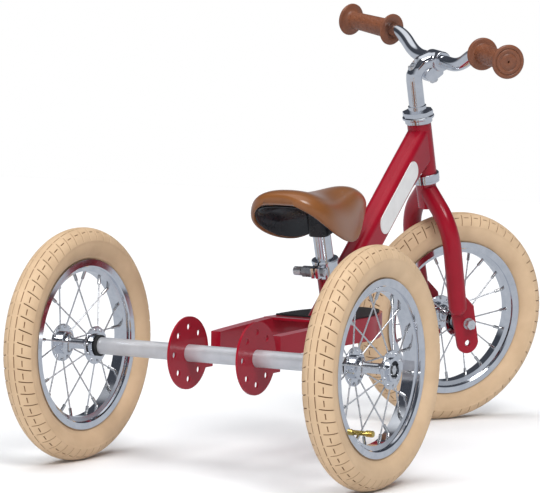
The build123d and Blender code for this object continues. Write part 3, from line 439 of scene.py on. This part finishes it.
# Grips: dimpled barrels between two flanges, with a stepped end cap. Outlines are (along, radius) in
# mm from the inner end, whose place and way are given ahead, across and up in the steering frame.
GRIP_START = (2.0, 114, 26.2)
GRIP_WAY = (-0.18, 1, 0.0705)
GRIP_SEGMENTS = 168
DIMPLE_ROWS = 7
DIMPLES_AROUND = 14
DIMPLE_RADIUS = 1.5
DIMPLE_DEPTH = 0.9
FIRST_ROW = 12
ROW_SPACING = 66.0 / DIMPLE_ROWS
DIMPLES_FROM = 8
DIMPLES_TO = 82
# The barrel's radius as the dimples are spaced round it; the real one tapers.
DIMPLE_CIRCLE = 13.4
BARREL_FOOT = 5.6
BARREL_RINGS = 138
BARREL_RING_STEP = 0.55
BARREL_THICKEST = 13.7
BARREL_RING_TAPER = 0.012
INNER_FLANGE = [
    (0, 9.5), (0, 20.2), (0.5, 21.6), (1.4, 22.2), (2.6, 22.2), (3.4, 21.4), (4.2, 19), (4.6, 15.6),
    (5.0, 14.2),
]
END_CAP = [
    (82.4, 12.9), (84.2, 14.6), (85.2, 18.5), (85.8, 21.4), (86.8, 22.7), (88.2, 22.9), (89.4, 22.2),
    (90.0, 20.8), (90.1, 17.9), (89.2, 17.6), (89.2, 17.0), (90.6, 16.6), (90.8, 16.0), (90.8, 12.0),
    (90.3, 11.7), (90.3, 11.1), (90.8, 10.8), (90.8, 2.0), (90.4, 1.6), (86.5, 1.5), (86.5, 0.05),
    (85.5, 0.05), (85.5, 9.5),
]


def grip_dent(along, angle):
    """Depth of the dimples on the barrel, in staggered rows."""
    row = round((along - FIRST_ROW) / ROW_SPACING)
    if not 0 <= row <= DIMPLE_ROWS or not DIMPLES_FROM < along < DIMPLES_TO:
        return 0.0
    step = TAU / DIMPLES_AROUND
    shift = 0.5 * step * (row % 2)
    off = (angle - shift + step / 2) % step - step / 2
    distance = math.hypot(along - FIRST_ROW - row * ROW_SPACING, off * DIMPLE_CIRCLE)
    return DIMPLE_DEPTH * max(0.0, 1 - (distance / DIMPLE_RADIUS) ** 2)


def make_grip(side, name):
    """One grip on the bar's end."""
    ahead, across, up = GRIP_START
    base = steering_point(ahead, across * side, up)
    ahead, across, up = GRIP_WAY
    along = (AHEAD * ahead + ACROSS * across * side + STEER_AXIS * up).normalized()
    barrel = [(BARREL_FOOT + BARREL_RING_STEP * i, BARREL_THICKEST - BARREL_RING_TAPER * i)
              for i in range(BARREL_RINGS)]
    profile = INNER_FLANGE + barrel + END_CAP
    piece = lathe(f"{name}_moulded", base, along, profile, GRIP_RUBBER, segments=GRIP_SEGMENTS,
                  dent=grip_dent)
    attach(piece, "bar")
    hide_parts(name)


# The stem: a forged gooseneck that hooks over the bar, split below for its clamp bolt.
QUILL_AHEAD = -40.2
QUILL_FOOT = -126
QUILL_HEAD = -18
QUILL_RADIUS = 11.1
CLAMP_RADIUS = 13.8
CLAMP_HALF = 15
LUG_HALF = 8.6
LUG_OUTLINE = [(6, -10), (2.7, -20), (-14, -27.5), (-21, -25), (-27, -18), (-22, -9), (-6, -3)]
FORGING_VOXEL = 0.9
SLOT_RISE = 31
SLOT_BACK = 17
SLOT_HALF = 1.5
SLOT_REACH = (-18, 10)
SLOT_ACROSS = 20
RECESS_FLOOR = -8.5
RECESS_TOP = 12
RECESS_RADIUS = 6.8
ARM_SEGMENTS = 40
ARM = [
    # ahead, up, half height, half width of the arm's sections, from the quill to the clamp
    (QUILL_AHEAD, -20, 11.1, 11.1),
    (-39.6, -13, 11.3, 11.0),
    (-34.5, -5.5, 11.6, 10.9),
    (-25, 1.5, 11.6, 10.9),
    (-13, 3.8, 11.2, 11.2),
    (-1, 0.8, 12.6, 12.0),
]


def prism(name, corners, half):
    """A side profile in the steering frame, (ahead, up) in mm, given a thickness across."""
    points = [steering_point(a, side * half, u) for side in (1, -1) for a, u in corners]
    n = len(corners)
    faces = [tuple(range(n)), tuple(range(2 * n - 1, n - 1, -1))]
    faces += [(i, n + i, n + (i + 1) % n, (i + 1) % n) for i in range(n)]
    return new_object(name, points, faces, CHROME)


def rod(name, start, end, radius, segments=64):
    """A plain round rod between two points, used only to build up or cut the forging."""
    along = end - start
    length = along.length / MM
    outline = [(0, 0.01), (0, radius), (length, radius), (length, 0.01)]
    return lathe(name, start, along.normalized(), outline, CHROME, segments=segments)


def make_arm():
    """The arm's swept body, rounded oval in section."""
    points = []
    for i, (ahead, up, tall, wide) in enumerate(ARM):
        before, after = ARM[max(i - 1, 0)], ARM[min(i + 1, len(ARM) - 1)]
        way = math.atan2(after[1] - before[1], after[0] - before[0])
        for k in range(ARM_SEGMENTS):
            angle = TAU * k / ARM_SEGMENTS
            rise = tall * math.sin(angle)
            points.append(steering_point(ahead - rise * math.sin(way), wide * math.cos(angle),
                                         up + rise * math.cos(way)))
    last = (len(ARM) - 1) * ARM_SEGMENTS
    faces = [tuple(range(ARM_SEGMENTS))[::-1], tuple(range(last, last + ARM_SEGMENTS))]
    for i in range(len(ARM) - 1):
        for k in range(ARM_SEGMENTS):
            n = (k + 1) % ARM_SEGMENTS
            here, there = i * ARM_SEGMENTS, (i + 1) * ARM_SEGMENTS
            faces.append((here + k, here + n, there + n, there + k))
    return new_object("arm", points, faces, CHROME)


def make_stem():
    """Quill, arm, clamp and lug melted into one forging, then cut by a slot and the bolt's recess."""
    quill_foot = steering_point(QUILL_AHEAD, 0, QUILL_FOOT)
    quill = rod("quill", quill_foot, steering_point(QUILL_AHEAD, 0, QUILL_HEAD), QUILL_RADIUS)
    clamp_start = steering_point(0, -CLAMP_HALF, 0)
    clamp = rod("clamp", clamp_start, steering_point(0, CLAMP_HALF, 0), CLAMP_RADIUS)
    lugs = prism("lugs", LUG_OUTLINE, LUG_HALF)
    whole = make_arm()
    bpy.ops.object.select_all(action="DESELECT")
    for piece in (quill, clamp, lugs, whole):
        piece.select_set(True)
    bpy.context.view_layer.objects.active = whole
    bpy.ops.object.join()
    whole.name = "gooseneck"
    melt = whole.modifiers.new("melt", "REMESH")
    melt.mode = "VOXEL"
    melt.voxel_size = FORGING_VOXEL * MM
    soften = whole.modifiers.new("soften", "SMOOTH")
    soften.factor = 0.5
    soften.iterations = 14
    slot_way = math.radians(SLOT_RISE)
    middle = (-SLOT_BACK * math.cos(slot_way), -SLOT_BACK * math.sin(slot_way))
    back, front = SLOT_REACH
    corners = [(back, -SLOT_HALF), (front, -SLOT_HALF), (front, SLOT_HALF), (back, SLOT_HALF)]
    ends = [(middle[0] + a * math.cos(slot_way) - b * math.sin(slot_way),
             middle[1] + a * math.sin(slot_way) + b * math.cos(slot_way))
            for a, b in corners]
    slot = prism("slot", ends, SLOT_ACROSS)
    recess_floor = steering_point(QUILL_AHEAD, 0, RECESS_FLOOR)
    recess = rod("recess", recess_floor, steering_point(QUILL_AHEAD, 0, RECESS_TOP), RECESS_RADIUS)
    for cutter in (slot, recess):
        cut = whole.modifiers.new("cut", "BOOLEAN")
        cut.operation = "DIFFERENCE"
        cut.solver = "EXACT"
        cut.object = cutter
    applied(whole)
    for cutter in (slot, recess):
        bpy.data.objects.remove(cutter)
    whole.data.set_sharp_from_angle(angle=math.radians(50))
    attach(whole, "stem")
    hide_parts("stem")


# The collars round the rear axle tube.
SEAL_GAP = 0.15
SEAL_WALL = 2.6
SEAL_WIDTH = 4.5
SEAL_BEVEL = 0.7
SEAL_REACH = 5.0


def make_axle_seals():
    """A black rubber collar round each end of the rear axle tube, clear of the hub."""
    low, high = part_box("rear_axle_tube")
    inner = (high[2] - low[2]) / 2 / MM + SEAL_GAP
    outer = inner + SEAL_WALL
    middle = (low[2] + high[2]) / 2
    profile = [
        (0, inner),
        (0, outer - SEAL_BEVEL),
        (SEAL_BEVEL, outer),
        (SEAL_WIDTH - SEAL_BEVEL, outer),
        (SEAL_WIDTH, outer - SEAL_BEVEL),
        (SEAL_WIDTH, inner),
    ]
    hub_faces = {"left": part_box("rear_left_hub")[0][1], "right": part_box("rear_right_hub")[1][1]}
    for side, name in ((1, "left"), (-1, "right")):
        base = Vector((REAR_X, hub_faces[name] - side * SEAL_REACH * MM, middle))
        seal = lathe(f"rear_axle_seal_{name}", base, Vector((0, side, 0)), profile, BLACK_RUBBER)
        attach(seal, "frame")


for wheel in WHEELS:
    make_tyre(wheel)
make_axle_seals()
make_saddle()
make_grip(1, "grip_left")
make_grip(-1, "grip_right")
make_stem()


# The stage: a pale floor, a white surround, soft lights and the camera, whose place is in metres from
# the rear axle's middle on the ground and whose yaw, pitch and roll are in degrees.
CAMERA_PLACE = (-3.15627, -1.95825, 0.59551)
CAMERA_ANGLES = (30.953, -4.633, 0.631)


def make_stage():
    """A pale floor, and a world that is white to the camera.

    In reflections the world is grey at the horizon and below, dim above and bright straight overhead.
    """
    bpy.ops.mesh.primitive_plane_add(size=9, location=(0, 0, 0))
    floor = bpy.context.object
    floor.name = "floor"
    pale = shader("pale_floor", (0.90, 0.90, 0.90), (0.93, 0.93, 0.93),
                  rough=(0.75, 0.85), patch=0.8, grain=40)
    floor.data.materials.append(pale)
    floor.visible_glossy = False
    world = bpy.data.worlds.new("studio")
    bpy.context.scene.world = world
    world.use_nodes = True
    nodes, links = world.node_tree.nodes, world.node_tree.links
    place = nodes.new("ShaderNodeTexCoord")
    split = nodes.new("ShaderNodeSeparateXYZ")
    ramp = nodes.new("ShaderNodeValToRGB")
    ramp.color_ramp.elements[0].position = 0.10
    ramp.color_ramp.elements[0].color = (0.50, 0.53, 0.58, 1)
    ramp.color_ramp.elements[1].position = 0.32
    ramp.color_ramp.elements[1].color = (0.05, 0.057, 0.072, 1)
    softbox = ramp.color_ramp.elements.new(0.78)
    softbox.color = (0.07, 0.075, 0.09, 1)
    overhead = ramp.color_ramp.elements.new(0.90)
    overhead.color = (0.85, 0.88, 0.92, 1)
    seen = nodes.new("ShaderNodeLightPath")
    backdrop = nodes.new("ShaderNodeMix")
    backdrop.data_type = "RGBA"
    backdrop.inputs["B"].default_value = (1, 1, 1, 1)
    links.new(seen.outputs["Is Camera Ray"], backdrop.inputs["Factor"])
    links.new(place.outputs["Generated"], split.inputs["Vector"])
    links.new(split.outputs["Z"], ramp.inputs["Fac"])
    links.new(ramp.outputs["Color"], backdrop.inputs["A"])
    links.new(backdrop.outputs["Result"], nodes["Background"].inputs["Color"])
    nodes["Background"].inputs["Strength"].default_value = 1.0
    bpy.context.scene.view_settings.view_transform = "Standard"


def make_sun(name, away, strength, spread, glint=False):
    """A soft distant light from a direction, mirrored in glossy surfaces only if it may glint."""
    data = bpy.data.lights.new(name, "SUN")
    data.energy = strength
    data.angle = math.radians(spread)
    light = bpy.data.objects.new(name, data)
    bpy.context.collection.objects.link(light)
    light.rotation_euler = Vector(away).to_track_quat("Z", "Y").to_euler()
    light.visible_glossy = glint


def make_camera():
    """A long lens behind the tricycle's right side, a little above the saddle."""
    data = bpy.data.cameras.new("camera")
    data.sensor_width = 36.0
    data.lens = 199.5
    data.shift_x = 0.0042
    data.shift_y = -0.0107
    data.clip_end = 50.0
    camera = bpy.data.objects.new("camera", data)
    bpy.context.collection.objects.link(camera)
    yaw, pitch, roll = (math.radians(angle) for angle in CAMERA_ANGLES)
    level_part = math.cos(pitch)
    looking = Vector((level_part * math.cos(yaw), level_part * math.sin(yaw), math.sin(pitch)))
    level = Vector((math.sin(yaw), -math.cos(yaw), 0))
    upright = level.cross(looking)
    right = math.cos(roll) * level + math.sin(roll) * upright
    up = -math.sin(roll) * level + math.cos(roll) * upright
    camera.matrix_world = Matrix((
        (right.x, up.x, -looking.x, REAR_X + CAMERA_PLACE[0]),
        (right.y, up.y, -looking.y, CAMERA_PLACE[1]),
        (right.z, up.z, -looking.z, CAMERA_PLACE[2]),
        (0, 0, 0, 1),
    ))
    bpy.context.scene.camera = camera


make_stage()
make_sun("key", (-1.0, -1.4, 1.9), 1.5, 24, glint=True)
make_sun("top", (-0.5, 0.4, 2.5), 1.6, 50)
make_sun("side", (-1.6, -0.3, 0.7), 0.9, 40)
make_camera()
